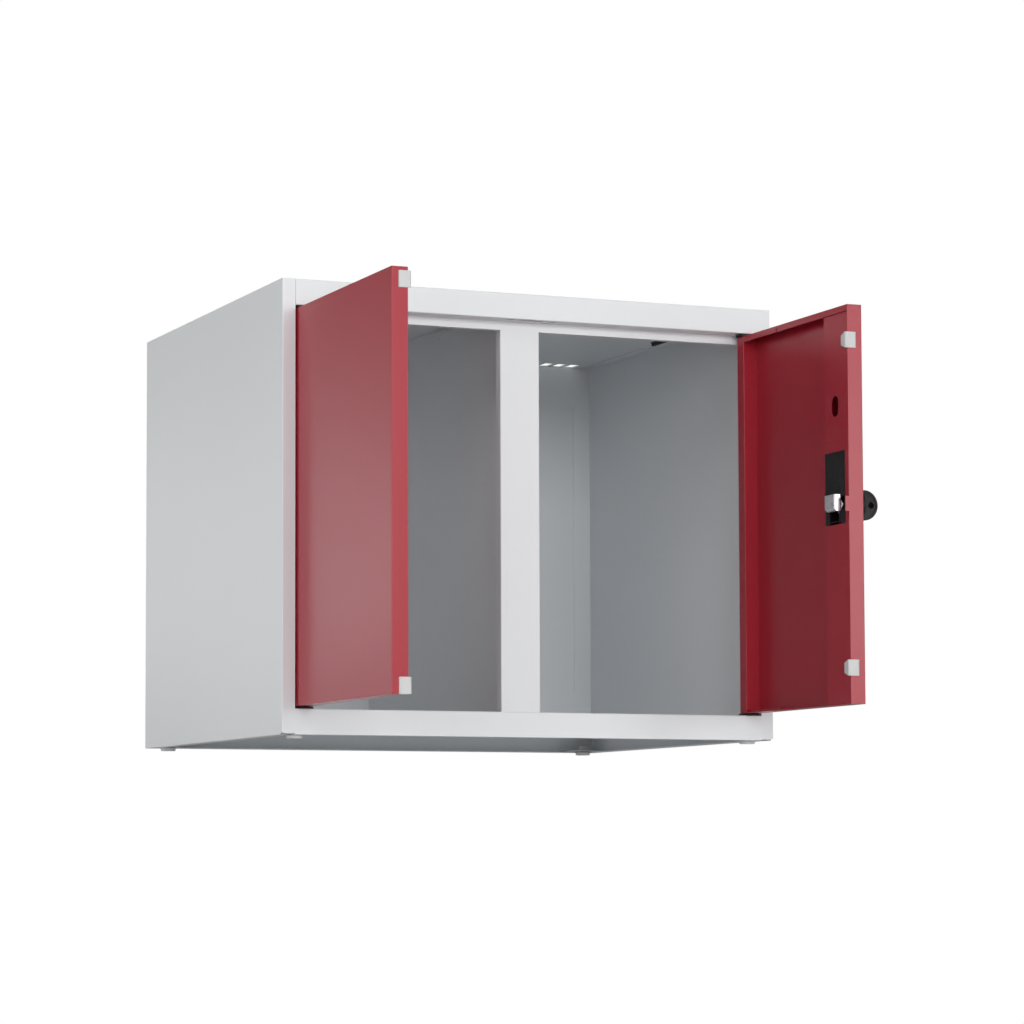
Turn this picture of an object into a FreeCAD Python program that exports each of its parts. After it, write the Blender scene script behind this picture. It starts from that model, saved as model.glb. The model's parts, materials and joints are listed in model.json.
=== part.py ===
"""Locker top cabinet: folded sheet-steel body with two compartments and two pivot-hung doors.

Millimetres. +Z is up and the front faces -Y. The origin lies on the plane the feet stand on,
under the middle of the body. Both doors are modelled standing open at a right angle.
"""
import FreeCAD, Part
import math
import os
from types import SimpleNamespace

import Sketcher

Vector = FreeCAD.Vector

# Driving dimensions in millimetres, and counts where the note says so
DIMENSIONS = [
    ("body_width", 600.0, "body, side to side"),
    ("body_depth", 500.0, "body, front to back"),
    ("body_height", 500.0, "body without its feet"),
    ("sheet_gauge", 1.0, "thickness of every folded sheet"),
    ("fit_gap", 0.05, "gap between sheets that lie against each other"),
    ("seam_gap", 0.4, "open seam at the left end of the top fascia"),
    ("bend_radius", 1.2, "outside radius of a fold"),
    ("front_flange", 15.0, "front flange of a side panel"),
    ("flange_return", 20.0, "depth of the fold behind the front flange"),
    ("stiffener", 15.0, "stiffening flange of a panel"),
    ("notch_depth", 6.0, "relief at the front bottom corner, along the side"),
    ("notch_height", 2.0, "relief at the front bottom corner, upwards"),
    ("fascia_height", 29.0, "front face of the roof panel"),
    ("soffit_depth", 22.0, "recess that takes the closed doors"),
    ("strip_height", 10.0, "door stop below the soffit"),
    ("strip_lip", 9.0, "fold behind the door stop"),
    ("rail_height", 28.2, "front base rail, up to the compartment floor"),
    ("vent_width", 12.0, "roof vent slot along the row"),
    ("vent_depth", 22.0, "roof vent slot across the row"),
    ("vent_pitch", 18.0, "step along the vent row"),
    ("vent_count", 14, "slots above one compartment (count)"),
    ("vent_inset", 33.0, "outermost slot's middle from the side"),
    ("vent_setback", 17.0, "slots' middle from the back"),
    ("catch_slot_long", 29.0, "middle slot in the soffit"),
    ("catch_slot_short", 9.0, "outer slots in the soffit"),
    ("catch_slot_spread", 25.0, "outer slots from the middle"),
    ("catch_slot_depth", 8.0, "soffit slots, front to back"),
    ("catch_slot_setback", 8.0, "soffit slots' middle from the front"),
    ("field_inset", 23.0, "pressed field of the back panel from the sides"),
    ("field_top", 450.5, "pressed field, top edge"),
    ("field_bottom", 78.0, "pressed field, bottom edge"),
    ("post_width", 48.0, "centre post"),
    ("post_depth", 12.0, "centre post, front to back"),
    ("post_lip", 10.0, "centre post, rear lips"),
    ("post_offset", 7.5, "centre post's middle, left of the body's middle"),
    ("hook_length", 40.0, "roof hook, front to back"),
    ("hook_leg", 2.5, "roof hook, each leg"),
    ("hook_drop", 4.5, "roof hook, height"),
    ("hook_inset", 23.0, "roof hook's web from the body's side"),
    ("hook_setback", -5.0, "roof hooks' middle behind the body's middle"),
    ("tab_length", 46.0, "lanced tab on the partition, front to back"),
    ("tab_setback", 7.0, "lanced tab's middle behind the body's middle"),
    ("tab_proud", 3.0, "lanced tab on the partition's left face"),
    ("tab_drop", 7.0, "lanced tab below the roof"),
    ("foot_height", 3.5, "glide foot below the body"),
    ("foot_radius", 9.5, "glide foot"),
    ("foot_taper", 0.8, "glide foot, narrower at the bottom"),
    ("foot_inset", 22.5, "glide foot's middle from both faces"),
    ("foot_stem", 8.0, "glide foot's square stem"),
    ("foot_stem_length", 8.0, "glide foot's stem"),
    ("gusset_size", 44.0, "corner gusset along each wall"),
    ("gusset_gauge", 1.5, "corner gusset's thickness"),
    ("hinge_inset", 25.5, "hinge axis from the body's side"),
    ("hinge_setback", 8.5, "hinge axis behind the body's front"),
    ("pin_radius", 3.0, "hinge pin"),
    ("pin_reach", 7.0, "hinge pin beyond the sheet that holds its bush"),
    ("bush_play", 0.05, "radial clearance of a hinge pin in its bush"),
    ("bush_radius", 6.0, "hinge bush's sleeve"),
    ("bush_sleeve", 8.0, "hinge bush's sleeve length"),
    ("bush_outward", 9.5, "hinge bush's plate towards the side"),
    ("bush_inward", 12.3, "hinge bush's plate towards the middle"),
    ("bush_half_depth", 7.3, "hinge bush's plate, half its depth"),
    ("bush_corner", 3.0, "hinge bush's plate, corner bevel"),
    ("bush_plate_upper", 3.0, "upper hinge bush's plate"),
    ("bush_plate_lower", 2.5, "lower hinge bush's plate"),
    ("door_thickness", 18.0, "door"),
    ("door_bottom", 31.0, "door's bottom edge above the body's bottom edge"),
    ("door_top", 467.5, "door's top edge above the body's bottom edge"),
    ("door_margin", 6.5, "door's hinge edge beyond the hinge axis"),
    ("left_reach", 291.9, "left door's free edge from its hinge axis"),
    ("right_reach", 254.5, "right door's free edge from its hinge axis"),
    ("hinge_bend", 3.0, "outside radius along a door's hinge edge"),
    ("door_bend", 1.0, "outside radius along a door's other edges"),
    ("door_lip", 7.0, "inner lip along a door's top"),
    ("hinge_lip", 16.0, "inner lip along a door's hinge edge"),
    ("lip_bend", 0.8, "outside radius where the hinge lip turns back to the skin"),
    ("return_relief", 0.5, "end of the hinge lip's return from a hinge reinforcement"),
    ("lip_notch_place", 90.0, "end of the hinge reinforcement from the hinge axis"),
    ("lip_notch_width", 2.2, "notch where the reinforcement ends"),
    ("lip_notch_height", 5.0, "notch where the reinforcement ends"),
    ("door_rail", 53.5, "stiffening rail along a door's free edge"),
    ("rail_foot", 11.0, "stiffening rail's foot on the door's skin"),
    ("rail_gap", 0.9, "stiffening rail below the lip along the door's top"),
    ("plate_length", 86.0, "hinge reinforcement along the door"),
    ("plate_gauge", 2.0, "hinge reinforcement's thickness"),
    ("plate_width", 11.8, "hinge reinforcement across the door"),
    ("buffer_height", 17.5, "door buffer"),
    ("buffer_cover", 8.5, "door buffer on the inner face"),
    ("buffer_wrap", 10.4, "door buffer on the free edge"),
    ("buffer_proud", 3.3, "door buffer above the inner face"),
    ("buffer_edge", 1.2, "door buffer beyond the free edge"),
    ("buffer_taper", 3.4, "door buffer's taper on the inner face, each side"),
    ("left_buffer_inset", 4.0, "left door's upper buffer below the door's top"),
    ("right_buffer_inset", 30.5, "right door's buffers from the door's ends"),
    ("lock_level", 250.5, "handle axis above the body's bottom edge"),
    ("lock_inset", 31.5, "handle axis from the right door's free edge"),
    ("case_near", 8.4, "lock case's edge from the free edge"),
    ("case_far", 52.2, "lock case's other edge from the free edge"),
    ("case_bottom", 228.4, "lock case's bottom edge"),
    ("case_top", 308.2, "lock case's top edge"),
    ("case_proud", 0.4, "lock case above the door's inner face"),
    ("case_depth", 15.9, "lock case, front to back"),
    ("case_face", 2.0, "lock case's face"),
    ("case_wall", 1.0, "lock case's side walls"),
    ("window_near", 9.6, "bolt window's edge from the free edge"),
    ("window_step", 21.5, "bolt window's lower part from the free edge"),
    ("window_far", 43.0, "bolt window's other edge from the free edge"),
    ("window_bottom", 231.8, "bolt window's bottom edge"),
    ("case_notch", 5.0, "notch in the lock case's bottom edge"),
    ("spare_hole_inset", 29.3, "spare lock hole from the free edge"),
    ("spare_hole_level", 358.6, "spare lock hole's middle"),
    ("spare_hole_width", 15.5, "spare lock hole"),
    ("spare_hole_height", 22.8, "spare lock hole"),
    ("guard_height", 16.3, "bolt guard on the right door's free edge"),
    ("guard_proud", 4.2, "bolt guard above the inner face"),
    ("guard_bottom", 240.7, "bolt guard's bottom edge"),
    ("bolt_nose", 9.5, "retracted bolt's nose from the free edge"),
    ("bolt_length", 21.5, "bolt head"),
    ("bolt_height", 18.0, "bolt head"),
    ("bolt_thickness", 7.5, "bolt head"),
    ("bolt_lift", 5.5, "bolt head's back above the door's inner face"),
    ("bolt_bevel", 5.0, "radius of the bolt's nose"),
    ("bolt_chamfer", 3.0, "bevel below the bolt's face"),
    ("leg_length", 3.0, "bolt's leg along the throw"),
    ("leg_height", 14.0, "bolt's leg"),
    ("leg_play", 0.3, "bolt's leg in the window"),
    ("bolt_throw", 18.0, "bolt's travel over a quarter turn"),
    ("slide_length", 18.0, "bolt's slide plate along the throw"),
    ("slide_height", 26.0, "bolt's slide plate"),
    ("slide_gauge", 2.2, "bolt's slide plate"),
    ("slide_play", 0.4, "slide plate below the lock case's face"),
    ("crank_heel", 10.0, "crank lever's corners behind the spindle"),
    ("crank_tip", 4.5, "crank lever beyond its pin"),
    ("crank_gauge", 2.0, "crank lever"),
    ("crank_play", 0.7, "crank lever below the slide plate"),
    ("crank_pin", 2.0, "crank pin radius"),
    ("yoke_half_width", 2.7, "half the slide plate's slot for the crank pin"),
    ("spindle_side", 7.0, "square spindle"),
    ("spindle_outward", 6.0, "spindle's outer end beyond the door's skin"),
    ("skin_hole", 9.0, "radius of the door skin's hole round the spindle"),
    ("rosette_radius", 17.5, "rosette below the handle"),
    ("rosette_height", 5.0, "rosette below the handle"),
    ("rosette_hole", 8.3, "rosette's hole round the handle's neck"),
    ("neck_radius", 8.0, "handle's neck"),
    ("handle_play", 0.3, "handle above the rosette"),
    ("handle_base", 6.0, "handle's round base"),
    ("handle_radius", 16.6, "handle's base and blade"),
    ("handle_height", 31.5, "handle's end above the door's outer face"),
    ("blade_thickness", 15.6, "handle's blade"),
    ("blade_bevel", 1.0, "bevel of the blade's rim"),
    ("blade_recess", 0.8, "recess in the blade's sides"),
    ("blade_rim", 3.0, "rim round the recess"),
    ("eye_height", 23.0, "padlock eye above the door's outer face"),
    ("eye_radius", 3.5, "padlock eye"),
]

OPEN_ANGLE = 90
TOLERANCE = 1e-3

doc = FreeCAD.newDocument("locker_top_cabinet")
sheet = doc.addObject("Spreadsheet::Sheet", "dims")
for row, (alias, number, note) in enumerate(DIMENSIONS, start=1):
    sheet.set(f"A{row}", str(number))
    sheet.setAlias(f"A{row}", alias)
    sheet.set(f"B{row}", note)
doc.recompute()


class Size:
    """A length that carries its number and the spreadsheet expression that drives it."""

    def __init__(self, number, text):
        self.number = number
        self.text = text

    def joined(self, sign, other, number):
        return Size(number, f"({self.text} {sign} {other.text})")

    def __add__(self, other):
        other = as_size(other)
        return self.joined("+", other, self.number + other.number)

    def __sub__(self, other):
        other = as_size(other)
        return self.joined("-", other, self.number - other.number)

    def __mul__(self, other):
        other = as_size(other)
        return self.joined("*", other, self.number * other.number)

    def __truediv__(self, other):
        other = as_size(other)
        return self.joined("/", other, self.number / other.number)

    def __radd__(self, other):
        return as_size(other) + self

    def __rsub__(self, other):
        return as_size(other) - self

    def __rmul__(self, other):
        return as_size(other) * self

    def __neg__(self):
        return as_size(0) - self


def as_size(value):
    if isinstance(value, Size):
        return value
    return Size(float(value), f"({value})")


d = SimpleNamespace(**{alias: Size(number, f"dims.{alias}") for alias, number, note in DIMENSIONS})


def bind(item, path, length):
    item.setExpression(path, as_size(length).text)


# Sketch outlines, each corner and centre bound to the spreadsheet

def pin_down(sketch, item, vertex, point):
    """Fix one sketch point at its two bound coordinates."""
    for kind, axis, length in zip(("DistanceX", "DistanceY"), (-2, -1), point):
        length = as_size(length)
        if abs(length.number) < TOLERANCE:
            sketch.addConstraint(Sketcher.Constraint("PointOnObject", item, vertex, axis))
        else:
            place = sketch.addConstraint(Sketcher.Constraint(kind, -1, 1, item, vertex, length.number))
            bind(sketch, f"Constraints[{place}]", length)


def polygon(points):
    """A closed outline through the points, given as pairs of sizes."""
    def draw(sketch):
        corners = [Vector(as_size(u).number, as_size(v).number, 0) for u, v in points]
        first = sketch.GeometryCount
        count = len(points)
        for start, end in zip(corners, corners[1:] + corners[:1]):
            sketch.addGeometry(Part.LineSegment(start, end), False)
        for index in range(count):
            after = first + (index + 1) % count
            sketch.addConstraint(Sketcher.Constraint("Coincident", first + index, 2, after, 1))
        for index, point in enumerate(points):
            pin_down(sketch, first + index, 1, point)
    return draw


def rectangle(u_one, v_one, u_two, v_two):
    return polygon([(u_one, v_one), (u_two, v_one), (u_two, v_two), (u_one, v_two)])


def circle(u, v, radius):
    def draw(sketch):
        middle = Vector(as_size(u).number, as_size(v).number, 0)
        item = sketch.addGeometry(Part.Circle(middle, Vector(0, 0, 1), as_size(radius).number), False)
        pin_down(sketch, item, 3, (u, v))
        place = sketch.addConstraint(Sketcher.Constraint("Radius", item, as_size(radius).number))
        bind(sketch, f"Constraints[{place}]", radius)
    return draw


def oblong(u, v, width, height):
    """An upright slot with round ends, about its middle."""
    def draw(sketch):
        radius = width / 2
        half = (height - width) / 2
        left, right = (u - radius).number, (u + radius).number
        low, high = (v - half).number, (v + half).number
        middle = u.number
        up = Vector(0, 0, 1)
        first = sketch.GeometryCount
        top = Part.Circle(Vector(middle, high, 0), up, radius.number)
        bottom = Part.Circle(Vector(middle, low, 0), up, radius.number)
        sketch.addGeometry(Part.ArcOfCircle(top, 0, math.pi), False)
        sketch.addGeometry(Part.LineSegment(Vector(left, high, 0), Vector(left, low, 0)), False)
        sketch.addGeometry(Part.ArcOfCircle(bottom, math.pi, 2 * math.pi), False)
        sketch.addGeometry(Part.LineSegment(Vector(right, low, 0), Vector(right, high, 0)), False)
        for one, two in ((0, 1), (1, 2), (2, 3), (3, 0)):
            sketch.addConstraint(Sketcher.Constraint("Tangent", first + one, 2, first + two, 1))
        pin_down(sketch, first, 3, (u, v + half))
        pin_down(sketch, first + 2, 3, (u, v - half))
        place = sketch.addConstraint(Sketcher.Constraint("Radius", first, radius.number))
        bind(sketch, f"Constraints[{place}]", radius)
    return draw


# Bodies and the operations on them

PIECES = []


def new_body(label, place, turn=0):
    body = doc.addObject("PartDesign::Body", label)
    body.Label = label
    base = Vector(*[as_size(length).number for length in place])
    body.Placement = FreeCAD.Placement(base, FreeCAD.Rotation(Vector(0, 0, 1), turn))
    for axis, length in zip("xyz", place):
        bind(body, f"Placement.Base.{axis}", length)
    PIECES.append(body)
    return body


def sketch_on(body, plane, level, loops):
    """A sketch on one of the body's own planes, moved along the plane's normal by level."""
    sketch = body.newObject("Sketcher::SketchObject", f"{body.Label}_outline")
    support = next(item for item in body.Origin.OriginFeatures if item.Role == f"{plane}_Plane")
    sketch.AttachmentSupport = [(support, "")]
    sketch.MapMode = "FlatFace"
    bind(sketch, "AttachmentOffset.Base.z", level)
    for draw in loops:
        draw(sketch)
    return sketch


def extruded(kind, body, plane, level, loops, length, symmetric, back):
    sketch = sketch_on(body, plane, level, loops)
    feature = body.newObject(f"PartDesign::{kind}", f"{body.Label}_{kind.lower()}")
    feature.Profile = sketch
    bind(feature, "Length", length)
    feature.Reversed = back
    if symmetric:
        feature.SideType = "Symmetric"
    doc.recompute()
    return feature


def pad(body, plane, level, loops, length, symmetric=False, back=False):
    return extruded("Pad", body, plane, level, loops, length, symmetric, back)


def pocket(body, plane, level, loops, length, symmetric=False, back=False):
    before = body.Tip.Shape.Volume
    feature = extruded("Pocket", body, plane, level, loops, length, symmetric, back)
    if feature.Shape.Volume > before - TOLERANCE:
        raise RuntimeError(f"{body.Label}: a pocket cuts nothing")
    return feature


def revolve(body, points):
    """A turned piece about its body's Z axis, from half its section."""
    sketch = sketch_on(body, "XZ", 0, [polygon(points)])
    feature = body.newObject("PartDesign::Revolution", f"{body.Label}_turned")
    feature.Profile = sketch
    feature.ReferenceAxis = (sketch, ["V_Axis"])
    feature.Angle = 360
    doc.recompute()


def row_of(body, feature, span, count):
    """Repeat a feature along X, count times over the span."""
    pattern = body.newObject("PartDesign::LinearPattern", f"{body.Label}_row")
    pattern.Originals = [feature]
    pattern.Direction = (feature.Profile[0], ["H_Axis"])
    bind(pattern, "Length", span)
    bind(pattern, "Occurrences", count)
    body.Tip = pattern
    doc.recompute()


def ease(body, kind, size, wanted):
    """Fillet or chamfer the edges that the test accepts."""
    base = body.Tip
    names = [f"Edge{n}" for n, edge in enumerate(base.Shape.Edges, start=1) if wanted(edge)]
    if not names:
        raise RuntimeError(f"{body.Label}: no edge to ease")
    feature = body.newObject(f"PartDesign::{kind}", f"{body.Label}_{kind.lower()}")
    feature.Base = (base, names)
    bind(feature, "Radius" if kind == "Fillet" else "Size", size)
    doc.recompute()


def fillet(body, radius, wanted):
    ease(body, "Fillet", radius, wanted)


def chamfer(body, size, wanted):
    ease(body, "Chamfer", size, wanted)


def edge_at(*places):
    """Accept edges whose ends lie at one of the places, each a dictionary of coordinates."""
    def wanted(edge):
        ends = [vertex.Point for vertex in edge.Vertexes]
        for place in places:
            gaps = [abs(getattr(end, axis) - as_size(length).number)
                    for end in ends for axis, length in place.items()]
            if max(gaps) < TOLERANCE:
                return True
        return False
    return wanted


def rim_of(radius):
    """Accept full circles of the radius."""
    def wanted(edge):
        round_edge = isinstance(edge.Curve, Part.Circle) and len(edge.Vertexes) == 1
        return round_edge and abs(edge.Curve.Radius - as_size(radius).number) < TOLERANCE
    return wanted


# Levels and planes that several pieces share

CARCASS = (0, 0, d.foot_height)
T = d.sheet_gauge
HALF = d.body_width / 2
FRONT = -d.body_depth / 2
REAR = d.body_depth / 2
TOP = d.body_height
SOFFIT = TOP - d.fascia_height
STRIP_FACE = FRONT + d.soffit_depth
STRIP_LOW = SOFFIT - d.strip_height
FLANGE_EDGE = HALF - d.front_flange
BACK_FACE = REAR - 2 * T
HINGE_X = HALF - d.hinge_inset
HINGE_Y = FRONT + d.hinge_setback


def side_panel(label, side):
    """Side wall with its front, rear, top and bottom flanges folded inwards."""
    body = new_body(label, CARCASS)
    wall = side * HALF
    inside = side * (HALF - T)
    lip = side * FLANGE_EDGE
    plan = [(wall, FRONT), (lip, FRONT), (lip, FRONT + T), (inside, FRONT + T),
            (inside, REAR - T), (lip, REAR - T), (lip, REAR), (wall, REAR)]
    pad(body, "XY", 0, [polygon(plan)], TOP)
    fold = side * (FLANGE_EDGE + T)
    back_of_fold = FRONT + d.flange_return
    pad(body, "XY", d.rail_height, [rectangle(lip, FRONT, fold, back_of_fold)], TOP - T - d.rail_height)
    top_start = STRIP_FACE + d.strip_lip + T
    pad(body, "XY", TOP - 2 * T, [rectangle(wall, top_start, lip, BACK_FACE - d.fit_gap)], T)
    pad(body, "XY", 0, [rectangle(wall, back_of_fold, lip, BACK_FACE - d.fit_gap)], T)
    notch = rectangle(wall, FRONT, lip, FRONT + d.notch_depth)
    pocket(body, "XY", 0, [notch], d.notch_height, back=True)
    fillet(body, d.bend_radius, edge_at({"x": wall, "y": FRONT}, {"x": wall, "y": REAR}))


def floor_panel():
    """Compartment floor folded down into the front base rail."""
    body = new_body("floor_panel", CARCASS)
    edge = HALF - T - d.fit_gap
    step = FRONT + T + d.fit_gap
    back = BACK_FACE - d.fit_gap
    plan = [(-FLANGE_EDGE, FRONT), (FLANGE_EDGE, FRONT), (FLANGE_EDGE, step), (edge, step),
            (edge, back), (-edge, back), (-edge, step), (-FLANGE_EDGE, step)]
    pad(body, "XY", d.rail_height - T, [polygon(plan)], T)
    rail = [(FRONT, 0), (FRONT + d.stiffener, 0), (FRONT + d.stiffener, T), (FRONT + T, T),
            (FRONT + T, d.rail_height), (FRONT, d.rail_height)]
    pad(body, "YZ", 0, [polygon(rail)], 2 * FLANGE_EDGE, symmetric=True)
    holes = [circle(side * HINGE_X, HINGE_Y, d.bush_radius + d.fit_gap) for side in (-1, 1)]
    pocket(body, "XY", d.rail_height, holes, 2 * T)
    fillet(body, d.bend_radius, edge_at({"y": FRONT, "z": d.rail_height}))


def roof_panel():
    """Roof sheet folded into fascia, soffit and door stop, with vents and soffit slots."""
    body = new_body("roof_panel", CARCASS)
    section = [(REAR, TOP), (FRONT, TOP), (FRONT, SOFFIT), (STRIP_FACE, SOFFIT), (STRIP_FACE, STRIP_LOW),
               (STRIP_FACE + d.strip_lip, STRIP_LOW), (STRIP_FACE + d.strip_lip, STRIP_LOW + T),
               (STRIP_FACE + T, STRIP_LOW + T), (STRIP_FACE + T, SOFFIT + T), (FRONT + T, SOFFIT + T),
               (FRONT + T, TOP - T), (REAR - T, TOP - T), (REAR - T, TOP - d.stiffener),
               (REAR, TOP - d.stiffener)]
    left_end = d.seam_gap - FLANGE_EDGE
    right_end = FLANGE_EDGE - d.fit_gap
    pad(body, "YZ", left_end, [polygon(section)], right_end - left_end)
    wing = HALF - T - d.fit_gap
    pad(body, "XY", TOP - T, [rectangle(-wing, FRONT + T + d.fit_gap, wing, REAR - T - d.fit_gap)], T)
    fillet(body, d.bend_radius, edge_at({"y": FRONT, "z": TOP}, {"y": FRONT, "z": SOFFIT},
                                        {"y": REAR, "z": TOP}))
    slots = []
    slot_front = FRONT + d.catch_slot_setback - d.catch_slot_depth / 2
    for middle, length in ((-d.catch_slot_spread, d.catch_slot_short), (as_size(0), d.catch_slot_long),
                           (d.catch_slot_spread, d.catch_slot_short)):
        slots.append(rectangle(middle - length / 2, slot_front,
                               middle + length / 2, slot_front + d.catch_slot_depth))
    slots += [circle(side * HINGE_X, HINGE_Y, d.bush_radius + d.fit_gap) for side in (-1, 1)]
    pocket(body, "XY", SOFFIT, slots, T, back=True)
    vent_span = d.vent_pitch * (d.vent_count - 1)
    vent_row = REAR - d.vent_setback
    vents = []
    for middle in (d.vent_inset - HALF, HALF - d.vent_inset - vent_span):
        vents.append(rectangle(middle - d.vent_width / 2, vent_row - d.vent_depth / 2,
                               middle + d.vent_width / 2, vent_row + d.vent_depth / 2))
    row_of(body, pocket(body, "XY", TOP, vents, T), vent_span, d.vent_count)


def back_panel():
    """Back wall with its pressed field, folded forwards at the bottom."""
    body = new_body("back_panel", CARCASS)
    edge = HALF - T - d.fit_gap
    pad(body, "XZ", T - REAR, [rectangle(-edge, 0, edge, TOP - T - d.fit_gap)], T)
    field = HALF - d.field_inset
    pad(body, "XZ", -REAR, [rectangle(-field, d.field_bottom, field, d.field_top)], 2 * T)
    inner = rectangle(T - field, d.field_bottom + T, field - T, d.field_top - T)
    pocket(body, "XZ", -BACK_FACE, [inner], T)
    lip = FLANGE_EDGE - d.fit_gap
    pad(body, "XY", 0, [rectangle(-lip, REAR - T, lip, BACK_FACE - d.stiffener)], T)


def partition():
    """Upright sheet between the compartments, with rear and top flanges to the right."""
    body = new_body("partition", CARCASS)
    left = -d.post_offset - T / 2
    right = left + T
    lip = right + d.stiffener
    nose = STRIP_FACE + T + d.fit_gap
    back = BACK_FACE - d.fit_gap
    plan = [(left, nose), (right, nose), (right, back - T), (lip, back - T), (lip, back), (left, back)]
    head = TOP - T - d.fit_gap
    pad(body, "XY", d.rail_height, [polygon(plan)], head - d.rail_height)
    clear = STRIP_FACE + d.post_depth + T
    pad(body, "XY", head - T, [rectangle(left, clear, lip, back)], T)
    notch = rectangle(nose - T, STRIP_LOW - d.fit_gap, STRIP_FACE + d.strip_lip + d.fit_gap, TOP)
    pocket(body, "YZ", 0, [notch], d.stiffener * 4, symmetric=True)
    tab_low = TOP - T - d.tab_drop
    half_tab = d.tab_length / 2
    tab = rectangle(d.tab_setback - half_tab, tab_low, d.tab_setback + half_tab, tab_low + T)
    pad(body, "YZ", left, [tab], d.tab_proud, back=True)


def centre_post():
    """Lipped channel in the plane of the door stop, slotted on its right for the bolt."""
    body = new_body("centre_post", CARCASS)
    left = -d.post_offset - d.post_width / 2
    right = left + d.post_width
    back = STRIP_FACE + d.post_depth
    plan = [(left, STRIP_FACE), (right, STRIP_FACE), (right, back), (right - d.post_lip, back),
            (right - d.post_lip, back - T), (right - T, back - T), (right - T, STRIP_FACE + T),
            (left + T, STRIP_FACE + T), (left + T, back - T), (left + d.post_lip, back - T),
            (left + d.post_lip, back), (left, back)]
    pad(body, "XY", d.rail_height, [polygon(plan)], STRIP_LOW - d.rail_height)
    half_slot = d.bolt_height / 2 + 5 * T
    slot_front = STRIP_FACE + d.bend_radius + 2 * d.fit_gap
    slot = rectangle(slot_front, d.lock_level - half_slot, back - T, d.lock_level + half_slot)
    pocket(body, "YZ", right, [slot], 2 * T)
    fillet(body, d.bend_radius, edge_at({"x": left, "y": STRIP_FACE}, {"x": right, "y": STRIP_FACE}))


def roof_hook(label, web, towards):
    """Folded hook strip under the roof; towards is the side that its lower leg points to."""
    body = new_body(label, CARCASS)
    head = TOP - T
    low = head - d.hook_drop
    section = [(web - towards * d.hook_leg, head), (web, head), (web, low + T),
               (web + towards * d.hook_leg, low + T), (web + towards * d.hook_leg, low),
               (web - towards * T, low), (web - towards * T, head - T),
               (web - towards * d.hook_leg, head - T)]
    start = d.hook_setback + d.hook_length / 2
    pad(body, "XZ", -start, [polygon(section)], d.hook_length)


def corner_gusset(label, side, end):
    """Corner plate on the bottom flanges that holds a foot; end is -1 at the front, 1 at the back."""
    body = new_body(label, CARCASS)
    wall = side * (HALF - T - d.fit_gap)
    face = FRONT + T + d.fit_gap if end < 0 else BACK_FACE - d.fit_gap
    inner = wall - side * d.gusset_size
    away = face - end * d.gusset_size
    plan = [(wall, face), (inner, face), (inner, (face + away) / 2), ((wall + inner) / 2, away), (wall, away)]
    foot_x = side * (HALF - d.foot_inset)
    foot_y = end * (REAR - d.foot_inset)
    half = d.foot_stem / 2 + d.fit_gap
    hole = rectangle(foot_x - half, foot_y - half, foot_x + half, foot_y + half)
    pad(body, "XY", T, [polygon(plan), hole], d.gusset_gauge)


def glide_foot(label, side, end):
    """Round plastic glide with a square stem that plugs into its gusset."""
    place = (side * (HALF - d.foot_inset), end * (REAR - d.foot_inset), d.foot_height)
    body = new_body(label, place)
    revolve(body, [(0, -d.foot_height), (d.foot_radius - d.foot_taper, -d.foot_height), (d.foot_radius, 0), (0, 0)])
    half = d.foot_stem / 2
    pad(body, "XY", 0, [rectangle(-half, -half, half, half)], d.foot_stem_length)


def hinge_bush(label, side, level, thickness, upper):
    """Plastic bush: a plate in the gap beside the door and a sleeve through the body's sheet."""
    body = new_body(label, (side * HINGE_X, HINGE_Y, d.foot_height + level))
    outward = side * d.bush_outward
    inward = -side * d.bush_inward
    deep = d.bush_half_depth
    pad(body, "XY", 0, [rectangle(outward, -deep, inward, deep)], thickness, back=upper)
    corners = [{"x": x, "y": y} for x in (outward, inward) for y in (-deep, deep)]
    chamfer(body, d.bush_corner, edge_at(*corners))
    pad(body, "XY", 0, [circle(0, 0, d.bush_radius)], d.bush_sleeve, back=not upper)
    bore = circle(0, 0, d.pin_radius + d.bush_play)
    pocket(body, "XY", 0, [bore], 4 * d.bush_sleeve, symmetric=True)


# Doors, each in a frame on its hinge axis, closed along X; run is the way from hinge to free edge

OUTER = -d.hinge_setback
INNER = OUTER + d.door_thickness
LEFT_DOOR = SimpleNamespace(name="left_door", run=1, reach=d.left_reach, turn=-OPEN_ANGLE,
                            place=(-HINGE_X, HINGE_Y, d.foot_height))
RIGHT_DOOR = SimpleNamespace(name="right_door", run=-1, reach=d.right_reach, turn=OPEN_ANGLE,
                             place=(HINGE_X, HINGE_Y, d.foot_height))
SKIN_BACK = OUTER + T
LOCK_X = -(d.right_reach - d.lock_inset)


def door_body(door, name):
    return new_body(f"{door.name}_{name}", door.place, door.turn)


def right_free(inset):
    """X of a line on the right door, given by its distance from the free edge."""
    return inset - d.right_reach


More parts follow.
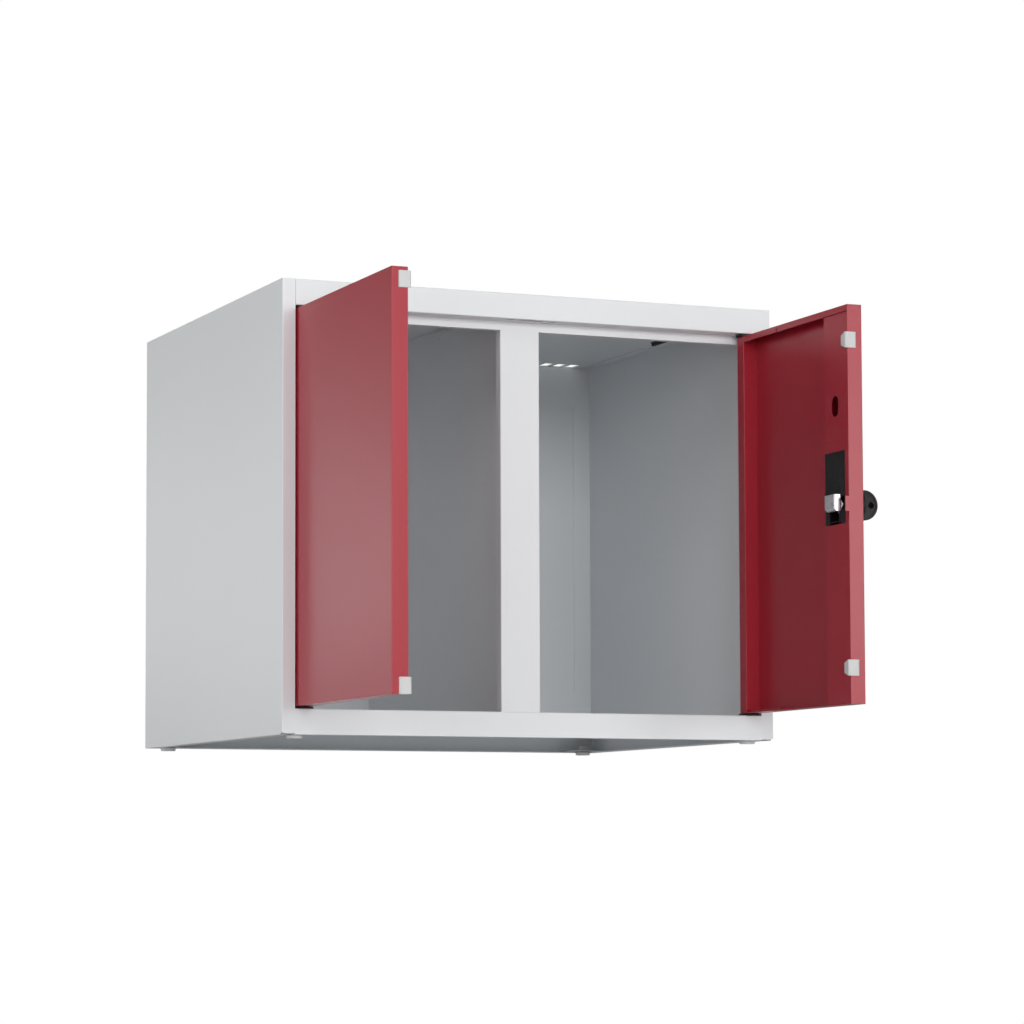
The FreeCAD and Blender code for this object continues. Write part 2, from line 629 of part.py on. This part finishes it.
def door_pan(door):
    """Door skin folded into a pan, with a lip along its top and a boxed lip along its hinge edge."""
    body = door_body(door, "pan")
    run = door.run
    hinge = -run * d.door_margin
    hinge_in = -run * (d.door_margin - T)
    lip = run * (d.hinge_lip - d.door_margin)
    free = run * door.reach
    free_in = run * (door.reach - T)
    plan = [(hinge, OUTER), (free, OUTER), (free, INNER), (free_in, INNER), (free_in, SKIN_BACK),
            (hinge_in, SKIN_BACK), (hinge_in, INNER - T), (lip, INNER - T), (lip, INNER), (hinge, INNER)]
    pad(body, "XY", d.door_bottom, [polygon(plan)], d.door_top - d.door_bottom)
    for level in (d.door_bottom, d.door_top - T):
        pad(body, "XY", level, [rectangle(hinge, OUTER, free, INNER)], T)
    relief = T + d.plate_gauge + d.return_relief
    pad(body, "XY", d.door_bottom + relief, [rectangle(lip - run * T, SKIN_BACK + d.fit_gap, lip, INNER)],
        d.door_top - d.door_bottom - 2 * relief)
    lip_low = d.door_top - d.door_lip
    pad(body, "XZ", -INNER, [rectangle(hinge, lip_low, free, d.door_top)], T)
    pocket(body, "XY", d.door_top, [circle(0, 0, d.pin_radius + 8 * d.fit_gap)], d.door_top)
    mark = run * d.lip_notch_place
    notch = rectangle(mark, lip_low, mark + run * d.lip_notch_width, lip_low + d.lip_notch_height)
    pocket(body, "XZ", -INNER, [notch], T, back=True)
    if door is RIGHT_DOOR:
        pad(body, "XY", d.guard_bottom, [rectangle(free, INNER - T, free_in, INNER + d.guard_proud)],
            d.guard_height)
        pocket(body, "XZ", -OUTER, [circle(LOCK_X, d.lock_level, d.skin_hole)], T)
    fillet(body, d.hinge_bend, edge_at({"x": hinge, "y": OUTER}))
    fillet(body, d.hinge_bend - T, edge_at({"x": hinge_in, "y": SKIN_BACK}))
    fillet(body, d.bend_radius, edge_at({"x": hinge, "y": INNER}))
    fillet(body, d.lip_bend, edge_at({"x": lip, "y": INNER}))
    fillet(body, d.door_bend, edge_at({"x": free, "y": OUTER}))


def door_rail(door):
    """Stiffening rail along the free edge, closed against the door's skin."""
    body = door_body(door, "rail")
    run = door.run
    far = run * (door.reach - d.door_rail)
    web = run * (door.reach - d.door_rail + T)
    foot = run * (door.reach - d.door_rail + d.rail_foot)
    free = run * (door.reach - T - d.fit_gap)
    plan = [(far, INNER), (free, INNER), (free, INNER - T), (web, INNER - T), (web, SKIN_BACK + T),
            (foot, SKIN_BACK + T), (foot, SKIN_BACK), (far, SKIN_BACK)]
    bottom = d.door_bottom + T + 3 * d.fit_gap
    top = d.door_top - d.door_lip - d.rail_gap
    pad(body, "XY", bottom, [polygon(plan)], top - bottom)
    fillet(body, d.bend_radius, edge_at({"x": far, "y": INNER}))
    if door is RIGHT_DOOR:
        gap = 2 * d.fit_gap
        opening = rectangle(right_free(d.case_near - gap), d.case_bottom - gap,
                            right_free(d.case_far + gap), d.case_top + gap)
        spare = oblong(right_free(d.spare_hole_inset), d.spare_hole_level,
                       d.spare_hole_width, d.spare_hole_height)
        pocket(body, "XZ", -INNER, [opening, spare], T, back=True)


def hinge_plate(door, name, upper):
    """Strip inside the pan that carries a hinge pin."""
    body = door_body(door, f"{name}_hinge_plate")
    run = door.run
    base = d.door_top - T if upper else d.door_bottom + T
    hinge = -run * (d.door_margin - T - d.fit_gap)
    middle = (OUTER + INNER) / 2
    strip = rectangle(hinge, middle - d.plate_width / 2, run * d.plate_length, middle + d.plate_width / 2)
    pad(body, "XY", base, [strip, circle(0, 0, d.pin_radius)], d.plate_gauge, back=upper)


def hinge_pin(door, name, upper):
    """Dowel from the hinge plate into the bush."""
    body = door_body(door, f"{name}_hinge_pin")
    plate = d.door_top - T - d.plate_gauge if upper else d.door_bottom + T + d.plate_gauge
    tip = SOFFIT + d.pin_reach if upper else d.rail_height - d.pin_reach
    length = tip - plate if upper else plate - tip
    pad(body, "XY", plate, [circle(0, 0, d.pin_radius)], length, back=not upper)


def door_buffer(door, name, bottom):
    """Plastic buffer clipped over the inner corner of the free edge."""
    body = door_body(door, f"{name}_buffer")
    run = door.run
    free = run * door.reach
    proud = run * (door.reach + d.buffer_edge)
    far = run * (door.reach - d.buffer_cover)
    crest = INNER + d.buffer_proud
    wrap = INNER - d.buffer_wrap
    plan = [(free, INNER), (free, wrap), (proud, wrap + d.buffer_edge), (proud, crest - d.buffer_edge),
            (free, crest), (far, crest), (far, INNER)]
    pad(body, "XY", bottom, [polygon(plan)], d.buffer_height)
    top = bottom + d.buffer_height
    tapers = [polygon([(far, level), (free, level), (far, level + step)])
              for level, step in ((bottom, d.buffer_taper), (top, -d.buffer_taper))]
    pocket(body, "XZ", -crest, tapers, d.buffer_proud, back=True)


def hung_door(door, buffer_levels):
    door_pan(door)
    door_rail(door)
    for name, upper in (("upper", True), ("lower", False)):
        hinge_plate(door, name, upper)
        hinge_pin(door, name, upper)
        door_buffer(door, name, buffer_levels[name])


# Lock on the right door

CASE_FACE = INNER + d.case_proud
SLIDE_TOP = CASE_FACE - d.case_face - d.slide_play
SLIDE_LOW = SLIDE_TOP - d.slide_gauge
CRANK_TOP = SLIDE_LOW - d.crank_play
BOLT_LOW = INNER + d.bolt_lift
CRANK_OFFSET = d.bolt_throw / 2
NECK_END = OUTER - d.fit_gap
HANDLE_BACK = OUTER - d.rosette_height - d.handle_play
HANDLE_END = OUTER - d.handle_height


def lock_case():
    """Moulded tray over the lock, with an L-shaped window for the bolt."""
    body = door_body(RIGHT_DOOR, "lock_case")
    near, far = right_free(d.case_near), right_free(d.case_far)
    pad(body, "XZ", -CASE_FACE, [rectangle(near, d.case_bottom, far, d.case_top)], d.case_depth)
    corners = [{"x": x, "z": z} for x in (near, far) for z in (d.case_bottom, d.case_top)]
    fillet(body, d.case_wall, edge_at(*corners))
    wall = d.case_wall
    hollow = rectangle(near + wall, d.case_bottom + wall, far - wall, d.case_top - wall)
    pocket(body, "XZ", d.case_depth - CASE_FACE, [hollow], d.case_depth - d.case_face)
    leg_low = d.lock_level - d.leg_height / 2 - d.leg_play
    leg_high = d.lock_level + d.leg_height / 2 + d.leg_play
    window = [(right_free(d.window_near), leg_low), (right_free(d.window_near), leg_high),
              (right_free(d.window_far), leg_high), (right_free(d.window_far), d.window_bottom),
              (right_free(d.window_step), d.window_bottom), (right_free(d.window_step), leg_low)]
    pocket(body, "XZ", -CASE_FACE, [polygon(window)], d.case_face, back=True)
    notch = rectangle(right_free(d.window_step - d.case_notch), d.case_bottom,
                      right_free(d.window_far), d.case_bottom + d.case_notch / 2)
    pocket(body, "XZ", -CASE_FACE, [notch], d.case_depth, back=True)


def latch_bolt():
    """Bevelled bolt head, the leg through the window and the slide plate with its yoke slot."""
    body = door_body(RIGHT_DOOR, "latch_bolt")
    nose = right_free(d.bolt_nose)
    tail = right_free(d.bolt_nose + d.bolt_length)
    low = d.lock_level - d.bolt_height / 2
    crest = BOLT_LOW + d.bolt_thickness
    pad(body, "XY", low, [rectangle(nose, BOLT_LOW, tail, crest)], d.bolt_height)
    chamfer(body, d.bolt_chamfer, edge_at({"y": crest, "z": low}))
    fillet(body, d.bolt_bevel, edge_at({"x": nose, "y": crest}))
    leg_low = d.lock_level - d.leg_height / 2
    leg = rectangle(tail, SLIDE_LOW, tail - d.leg_length, BOLT_LOW)
    pad(body, "XY", leg_low, [leg], d.leg_height)
    slide = rectangle(tail - d.leg_length, SLIDE_LOW, tail + d.slide_length - d.leg_length, SLIDE_TOP)
    pad(body, "XY", leg_low, [slide], d.slide_height)
    yoke = LOCK_X + CRANK_OFFSET
    pin_low = d.lock_level + CRANK_OFFSET
    slot = rectangle(yoke - d.yoke_half_width, pin_low - d.yoke_half_width,
                     yoke + d.yoke_half_width, pin_low + CRANK_OFFSET / 2 + d.yoke_half_width)
    pocket(body, "XZ", -SLIDE_TOP, [slot], d.slide_gauge, back=True)


def drive_crank():
    """Lever on the spindle with the pin that shifts the bolt."""
    body = door_body(RIGHT_DOOR, "drive_crank")
    half = d.spindle_side / 2
    square = rectangle(LOCK_X - half, d.lock_level - half, LOCK_X + half, d.lock_level + half)
    heel = d.crank_heel
    tip = CRANK_OFFSET + d.crank_tip
    arm = polygon([(LOCK_X + along, d.lock_level + up) for along, up in (
        (-heel, 0), (0, -heel), (tip, tip - heel), (tip, tip), (tip - heel, tip))])
    pad(body, "XZ", -CRANK_TOP, [arm, square], d.crank_gauge)
    pin = circle(LOCK_X + CRANK_OFFSET, d.lock_level + CRANK_OFFSET, d.crank_pin)
    pad(body, "XZ", -CRANK_TOP, [pin], SLIDE_TOP - CRANK_TOP, back=True)


def handle_spindle():
    """Square bar from the handle's neck to the crank."""
    body = door_body(RIGHT_DOOR, "handle_spindle")
    half = d.spindle_side / 2
    square = rectangle(LOCK_X - half, d.lock_level - half, LOCK_X + half, d.lock_level + half)
    pad(body, "XZ", -CRANK_TOP, [square], CRANK_TOP - OUTER + d.spindle_outward)


def handle_rosette():
    """Round plate fixed to the door's outer face."""
    body = door_body(RIGHT_DOOR, "handle_rosette")
    rings = [circle(LOCK_X, d.lock_level, d.rosette_radius), circle(LOCK_X, d.lock_level, d.rosette_hole)]
    pad(body, "XZ", -OUTER, rings, d.rosette_height)


def turn_handle():
    """Turn handle: a round base with an upright disc-shaped blade and an eye for a padlock."""
    body = door_body(RIGHT_DOOR, "turn_handle")
    level = d.lock_level
    blade_y = HANDLE_END + d.handle_radius
    pad(body, "YZ", LOCK_X, [circle(blade_y, level, d.handle_radius)], d.blade_thickness, symmetric=True)
    chamfer(body, d.blade_bevel, rim_of(d.handle_radius))
    eye_y = OUTER - d.eye_height
    for face in (-1, 1):
        web = circle(blade_y, level, d.handle_radius - d.blade_rim)
        pocket(body, "YZ", LOCK_X + face * d.blade_thickness / 2, [web], d.blade_recess, back=face < 0)
    pocket(body, "XZ", -HANDLE_BACK, [circle(LOCK_X, level, 2 * d.handle_radius)], d.handle_radius)
    pad(body, "XZ", -HANDLE_BACK, [circle(LOCK_X, level, d.handle_radius)], d.handle_base)
    pocket(body, "YZ", LOCK_X, [circle(eye_y, level, d.eye_radius)], 2 * d.handle_radius, symmetric=True)
    pad(body, "XZ", -NECK_END, [circle(LOCK_X, level, d.neck_radius)], NECK_END - HANDLE_BACK)
    half = d.spindle_side / 2
    socket = rectangle(LOCK_X - half, level - half, LOCK_X + half, level + half)
    pocket(body, "XZ", -NECK_END, [socket], d.spindle_outward, back=True)


def build():
    for name, side in (("left", -1), ("right", 1)):
        side_panel(f"{name}_side_panel", side)
        for place, end in (("front", -1), ("rear", 1)):
            corner_gusset(f"{place}_{name}_gusset", side, end)
            glide_foot(f"{place}_{name}_foot", side, end)
        hinge_bush(f"upper_{name}_bush", side, SOFFIT, d.bush_plate_upper, True)
        hinge_bush(f"lower_{name}_bush", side, d.rail_height, d.bush_plate_lower, False)
    floor_panel()
    roof_panel()
    back_panel()
    partition()
    centre_post()
    wall_web = HALF - d.hook_inset
    roof_hook("left_wall_hook", -wall_web, -1)
    roof_hook("right_wall_hook", wall_web, 1)
    partition_lip = T / 2 - d.post_offset + d.stiffener
    roof_hook("partition_hook", partition_lip + T, -1)
    hung_door(LEFT_DOOR, {"upper": d.door_top - d.left_buffer_inset - d.buffer_height, "lower": d.door_bottom})
    hung_door(RIGHT_DOOR, {"upper": d.door_top - d.right_buffer_inset - d.buffer_height,
                           "lower": d.door_bottom + d.right_buffer_inset})
    lock_case()
    latch_bolt()
    drive_crank()
    handle_spindle()
    handle_rosette()
    turn_handle()
    doc.recompute()


def check():
    for item in doc.Objects:
        if "Invalid" in item.State or "Error" in item.State:
            raise RuntimeError(f"{item.Label} failed: {item.State}")
    for body in PIECES:
        if body.Shape.isNull() or not body.Shape.isValid():
            raise RuntimeError(f"{body.Label} has no valid shape")
        if len(body.Shape.Solids) != 1:
            raise RuntimeError(f"{body.Label} has {len(body.Shape.Solids)} solids")


def write():
    os.makedirs("parts", exist_ok=True)
    for body in PIECES:
        body.Shape.exportStep(f"parts/{body.Label}.step")
    print(len(PIECES), "pieces written")


build()
check()
write()
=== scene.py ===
"""Looks of the locker top cabinet: paint, plastic and plated metal on the part, studio light, camera."""

import json
import math

import bpy
from mathutils import Matrix, Vector

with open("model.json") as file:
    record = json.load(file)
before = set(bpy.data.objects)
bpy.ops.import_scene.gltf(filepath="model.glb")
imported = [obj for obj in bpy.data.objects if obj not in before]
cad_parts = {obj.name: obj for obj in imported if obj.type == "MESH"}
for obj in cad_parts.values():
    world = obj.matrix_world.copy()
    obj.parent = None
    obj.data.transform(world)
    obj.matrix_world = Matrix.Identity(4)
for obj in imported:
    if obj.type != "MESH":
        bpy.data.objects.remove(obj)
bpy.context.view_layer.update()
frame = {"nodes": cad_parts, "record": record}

MM = 0.001
WHITE = (1.0, 1.0, 1.0, 1.0)
UNIT = (0.0, 1.0)

# The stretch of a noise's values that holds most of them, and a tighter one for more contrast
MOST_NOISE = (0.3, 0.7)
MID_NOISE = (0.35, 0.65)

# Places of the colour sockets on a mix node
MIX_FIRST = 6
MIX_SECOND = 7
MIX_RESULT = 2


# Node helpers

def new_material(name):
    """A node material with a principled shader wired to its output."""
    material = bpy.data.materials.new(name)
    material.use_nodes = True
    tree = material.node_tree
    tree.nodes.clear()
    output = tree.nodes.new("ShaderNodeOutputMaterial")
    shader = tree.nodes.new("ShaderNodeBsdfPrincipled")
    tree.links.new(shader.outputs["BSDF"], output.inputs["Surface"])
    return material, tree, shader


def object_coordinates(tree):
    """The place on the object, in metres."""
    return tree.nodes.new("ShaderNodeTexCoord").outputs["Object"]


def noise(tree, where, per_metre, detail, stretch=None):
    """Noise with a feature count per metre, stretched along an axis where asked."""
    node = tree.nodes.new("ShaderNodeTexNoise")
    node.inputs["Scale"].default_value = per_metre
    node.inputs["Detail"].default_value = detail
    if stretch:
        mapping = tree.nodes.new("ShaderNodeMapping")
        mapping.inputs["Scale"].default_value = stretch
        tree.links.new(where, mapping.inputs["Vector"])
        where = mapping.outputs["Vector"]
    tree.links.new(where, node.inputs["Vector"])
    return node.outputs["Fac"]


def ramp(tree, value, source, target):
    """A value mapped from one range to another, held at the ends."""
    node = tree.nodes.new("ShaderNodeMapRange")
    node.inputs["From Min"].default_value, node.inputs["From Max"].default_value = source
    node.inputs["To Min"].default_value, node.inputs["To Max"].default_value = target
    tree.links.new(value, node.inputs["Value"])
    return node.outputs["Result"]


def set_colour(tree, shader, factor, tint, shade):
    """Base colour that goes from tint to shade as the factor goes from 0 to 1."""
    node = tree.nodes.new("ShaderNodeMix")
    node.data_type = "RGBA"
    tree.links.new(factor, node.inputs["Factor"])
    node.inputs[MIX_FIRST].default_value = (*tint, 1.0)
    node.inputs[MIX_SECOND].default_value = (*shade, 1.0)
    tree.links.new(node.outputs[MIX_RESULT], shader.inputs["Base Color"])


def rounded_normal(tree):
    """A normal that rounds sharp edges."""
    edge_radius = 0.5 * MM
    bevel = tree.nodes.new("ShaderNodeBevel")
    bevel.samples = 4
    bevel.inputs["Radius"].default_value = edge_radius
    return bevel.outputs["Normal"]


def bump(tree, shader, height, distance, strength, normal=None):
    """Fine relief on the shader's normal, over another normal where one is given."""
    node = tree.nodes.new("ShaderNodeBump")
    node.inputs["Strength"].default_value = strength
    node.inputs["Distance"].default_value = distance
    tree.links.new(height, node.inputs["Height"])
    if normal:
        tree.links.new(normal, node.inputs["Normal"])
    tree.links.new(node.outputs["Normal"], shader.inputs["Normal"])


# Materials

def powder_coat(name, tint, shade, roughness, specular):
    """Smooth semi-gloss powder coat: a very slow drift of tone and gloss, and a faint orange peel."""
    material, tree, shader = new_material(name)
    where = object_coordinates(tree)
    drift = noise(tree, where, per_metre=2.5, detail=1.0)
    set_colour(tree, shader, ramp(tree, drift, MOST_NOISE, UNIT), tint, shade)
    gloss = noise(tree, where, per_metre=6.0, detail=1.0)
    gloss_range = (roughness - 0.01, roughness + 0.01)
    tree.links.new(ramp(tree, gloss, MOST_NOISE, gloss_range), shader.inputs["Roughness"])
    shader.inputs["Specular IOR Level"].default_value = specular
    peel = noise(tree, where, per_metre=300.0, detail=1.0)
    bump(tree, shader, peel, distance=0.02 * MM, strength=0.08)
    return material


def moulded_plastic(name, tint, shade, roughness, specular, grain):
    """Moulded plastic with a fine spark-eroded grain and rounded edges."""
    material, tree, shader = new_material(name)
    where = object_coordinates(tree)
    drift = noise(tree, where, per_metre=35.0, detail=4.0)
    set_colour(tree, shader, ramp(tree, drift, MID_NOISE, UNIT), tint, shade)
    rub = noise(tree, where, per_metre=120.0, detail=4.0)
    rub_range = (roughness - 0.05, roughness + 0.06)
    tree.links.new(ramp(tree, rub, MOST_NOISE, rub_range), shader.inputs["Roughness"])
    shader.inputs["Specular IOR Level"].default_value = specular
    pits = noise(tree, where, per_metre=2400.0, detail=2.0)
    bump(tree, shader, pits, distance=0.05 * MM, strength=grain, normal=rounded_normal(tree))
    return material


def plated_metal(name, tint, shade, roughness, stretch):
    """Plated steel with fine drawn lines along one axis and rounded edges."""
    material, tree, shader = new_material(name)
    where = object_coordinates(tree)
    cloud = noise(tree, where, per_metre=90.0, detail=3.0)
    set_colour(tree, shader, ramp(tree, cloud, MID_NOISE, UNIT), tint, shade)
    shader.inputs["Metallic"].default_value = 1.0
    lines = noise(tree, where, per_metre=300.0, detail=4.0, stretch=stretch)
    line_range = (roughness - 0.04, roughness + 0.08)
    tree.links.new(ramp(tree, lines, MOST_NOISE, line_range), shader.inputs["Roughness"])
    bump(tree, shader, lines, distance=0.02 * MM, strength=0.12, normal=rounded_normal(tree))
    return material


# Scales that draw a noise out into lines along one axis
LINES_ALONG_Y = (1.0, 0.06, 1.0)
LINES_ALONG_Z = (1.0, 1.0, 0.06)

MATERIALS = {
    "body_paint": powder_coat(
        "body_paint", tint=(0.820, 0.846, 0.864), shade=(0.810, 0.837, 0.856),
        roughness=0.32, specular=0.45),
    "door_paint": powder_coat(
        "door_paint", tint=(0.405, 0.0150, 0.0310), shade=(0.395, 0.0145, 0.0300),
        roughness=0.26, specular=0.42),
    "steel": plated_metal(
        "zinc_steel", tint=(0.58, 0.59, 0.60), shade=(0.50, 0.51, 0.53),
        roughness=0.36, stretch=LINES_ALONG_Z),
    "bolt_chrome": plated_metal(
        "bolt_plating", tint=(0.90, 0.90, 0.91), shade=(0.85, 0.85, 0.86),
        roughness=0.30, stretch=LINES_ALONG_Y),
    "black_plastic": moulded_plastic(
        "black_plastic", tint=(0.0085, 0.0088, 0.0088), shade=(0.0070, 0.0072, 0.0072),
        roughness=0.42, specular=0.30, grain=0.15),
    "buffer_plastic": moulded_plastic(
        "buffer_plastic", tint=(0.66, 0.66, 0.66), shade=(0.62, 0.62, 0.62),
        roughness=0.42, specular=0.50, grain=0.10),
    "foot_plastic": moulded_plastic(
        "foot_plastic", tint=(0.80, 0.81, 0.82), shade=(0.76, 0.77, 0.78),
        roughness=0.45, specular=0.50, grain=0.10),
}

for part in frame["record"]["subparts"]:
    node = frame["nodes"][part["node"]]
    node.data.materials.clear()
    node.data.materials.append(MATERIALS[part["material_slot"]])


# Floor

FLOOR_LEVEL = -0.75
FLOOR_HALF = 6.0
FLOOR_TINT = (0.58, 0.58, 0.58)
FLOOR_SHADE = (0.56, 0.56, 0.56)
FLOOR_ROUGHNESS = 0.8

# The camera sees the floor glow, and more so far out, where it runs into the white backdrop
GLOW_DISTANCES = (1.0, 4.5)
GLOW_STRENGTHS = (0.62, 0.95)


def floor_paper():
    """Pale paper whose glow is for the camera only, so that it lights nothing."""
    material, tree, shader = new_material("floor_paper")
    where = object_coordinates(tree)
    grain = noise(tree, where, per_metre=3.0, detail=3.0)
    set_colour(tree, shader, ramp(tree, grain, MOST_NOISE, UNIT), FLOOR_TINT, FLOOR_SHADE)
    shader.inputs["Roughness"].default_value = FLOOR_ROUGHNESS
    far = tree.nodes.new("ShaderNodeVectorMath")
    far.operation = "LENGTH"
    tree.links.new(where, far.inputs["Vector"])
    path = tree.nodes.new("ShaderNodeLightPath")
    glow = tree.nodes.new("ShaderNodeMath")
    glow.operation = "MULTIPLY"
    tree.links.new(ramp(tree, far.outputs["Value"], GLOW_DISTANCES, GLOW_STRENGTHS), glow.inputs[0])
    tree.links.new(path.outputs["Is Camera Ray"], glow.inputs[1])
    shader.inputs["Emission Color"].default_value = WHITE
    tree.links.new(glow.outputs["Value"], shader.inputs["Emission Strength"])
    return material


def pale_floor():
    """A square of paper below the part, which stands as if on a locker."""
    mesh = bpy.data.meshes.new("floor")
    signs = ((-1, -1), (1, -1), (1, 1), (-1, 1))
    corners = [(x * FLOOR_HALF, y * FLOOR_HALF, FLOOR_LEVEL) for x, y in signs]
    mesh.from_pydata(corners, [], [(0, 1, 2, 3)])
    floor = bpy.data.objects.new("floor", mesh)
    bpy.context.collection.objects.link(floor)
    mesh.materials.append(floor_paper())


# Light

AMBIENT = 0.15

# Height of a direction, from -1 straight down to 1 straight up, and the radiance that comes from there
HORIZON_GLOW = [(-1.0, AMBIENT), (-0.05, AMBIENT), (0.03, 0.25), (0.08, 2.02), (0.13, 0.62), (0.20, AMBIENT),
                (1.0, AMBIENT)]

# Name, place, width, height and watts of each light, and the place that all of them face
SOFTBOXES = [
    ("front", (-0.2, -4.4, 0.9), 2.4, 1.6, 64.0),
    ("top", (0.0, -2.4, 3.4), 2.6, 2.0, 10.0),
    ("left", (-3.6, -0.4, 0.7), 2.4, 1.6, 26.0),
    ("left_front", (-2.6, -3.4, 0.3), 1.2, 1.0, 9.5),
    ("left_high", (-2.2, -2.4, 2.4), 1.6, 1.6, 15.0),
    ("right_front", (2.35, -4.0, 0.65), 1.0, 1.3, 21.0),
    ("rear_top", (1.2, 2.6, 3.0), 2.6, 2.6, 45.0),
]
LIT_PLACE = (0.0, 0.0, 0.25)


def softbox(name, place, width, height, watts):
    """A rectangular light that faces the part."""
    light = bpy.data.lights.new(name, "AREA")
    light.shape = "RECTANGLE"
    light.size = width
    light.size_y = height
    light.energy = watts
    lamp = bpy.data.objects.new(name, light)
    lamp.location = place
    lamp.rotation_euler = (Vector(LIT_PLACE) - Vector(place)).to_track_quat("-Z", "Y").to_euler()
    bpy.context.collection.objects.link(lamp)


def glow_by_height(tree):
    """Background whose radiance follows HORIZON_GLOW."""
    direction = tree.nodes.new("ShaderNodeSeparateXYZ")
    tree.links.new(tree.nodes.new("ShaderNodeTexCoord").outputs["Generated"], direction.inputs["Vector"])
    curve = tree.nodes.new("ShaderNodeValToRGB")
    tree.links.new(ramp(tree, direction.outputs["Z"], (-1.0, 1.0), UNIT), curve.inputs["Fac"])
    elements = curve.color_ramp.elements
    while len(elements) < len(HORIZON_GLOW):
        elements.new(0.5)
    brightest = max(radiance for height, radiance in HORIZON_GLOW)
    for element, (height, radiance) in zip(elements, HORIZON_GLOW):
        share = radiance / brightest
        element.position = (height + 1.0) / 2.0
        element.color = (share, share, share, 1.0)
    background = tree.nodes.new("ShaderNodeBackground")
    background.inputs["Strength"].default_value = brightest
    tree.links.new(curve.outputs["Color"], background.inputs["Color"])
    return background


def studio_world():
    """White backdrop for the camera; for everything else a glow that depends on the direction's height."""
    world = bpy.data.worlds.new("studio")
    world.use_nodes = True
    tree = world.node_tree
    tree.nodes.clear()
    output = tree.nodes.new("ShaderNodeOutputWorld")
    backdrop = tree.nodes.new("ShaderNodeBackground")
    backdrop.inputs["Color"].default_value = WHITE
    path = tree.nodes.new("ShaderNodeLightPath")
    mix = tree.nodes.new("ShaderNodeMixShader")
    tree.links.new(path.outputs["Is Camera Ray"], mix.inputs["Fac"])
    tree.links.new(glow_by_height(tree).outputs["Background"], mix.inputs[1])
    tree.links.new(backdrop.outputs["Background"], mix.inputs[2])
    tree.links.new(mix.outputs["Shader"], output.inputs["Surface"])
    bpy.context.scene.world = world


# Camera

CAMERA_PLACE = (-1.5150, -3.6785, -0.1307)
CAMERA_YAW = math.radians(22.3985)
CAMERA_PITCH = math.radians(4.1563)
CAMERA_ROLL = math.radians(-0.1275)
CAMERA_LENS = 117.82
CAMERA_SHIFT = (0.06, 0.10)
SENSOR_WIDTH = 36.0


def photo_camera():
    """Camera at the photograph's viewing angle; yaw turns from +Y towards +X, pitch lifts."""
    across = math.cos(CAMERA_PITCH)
    forward = Vector((math.sin(CAMERA_YAW) * across, math.cos(CAMERA_YAW) * across, math.sin(CAMERA_PITCH)))
    level = Vector((math.cos(CAMERA_YAW), -math.sin(CAMERA_YAW), 0.0))
    right = Matrix.Rotation(-CAMERA_ROLL, 3, forward) @ level
    up = right.cross(forward)
    data = bpy.data.cameras.new("camera")
    data.lens = CAMERA_LENS
    data.sensor_width = SENSOR_WIDTH
    data.shift_x, data.shift_y = CAMERA_SHIFT
    camera = bpy.data.objects.new("camera", data)
    turn = Matrix((right, up, -forward)).transposed().to_4x4()
    camera.matrix_world = Matrix.Translation(CAMERA_PLACE) @ turn
    bpy.context.collection.objects.link(camera)
    bpy.context.scene.camera = camera


pale_floor()
studio_world()
for name, place, width, height, watts in SOFTBOXES:
    softbox(name, place, width, height, watts)
photo_camera()
bpy.context.scene.view_settings.view_transform = "Standard"
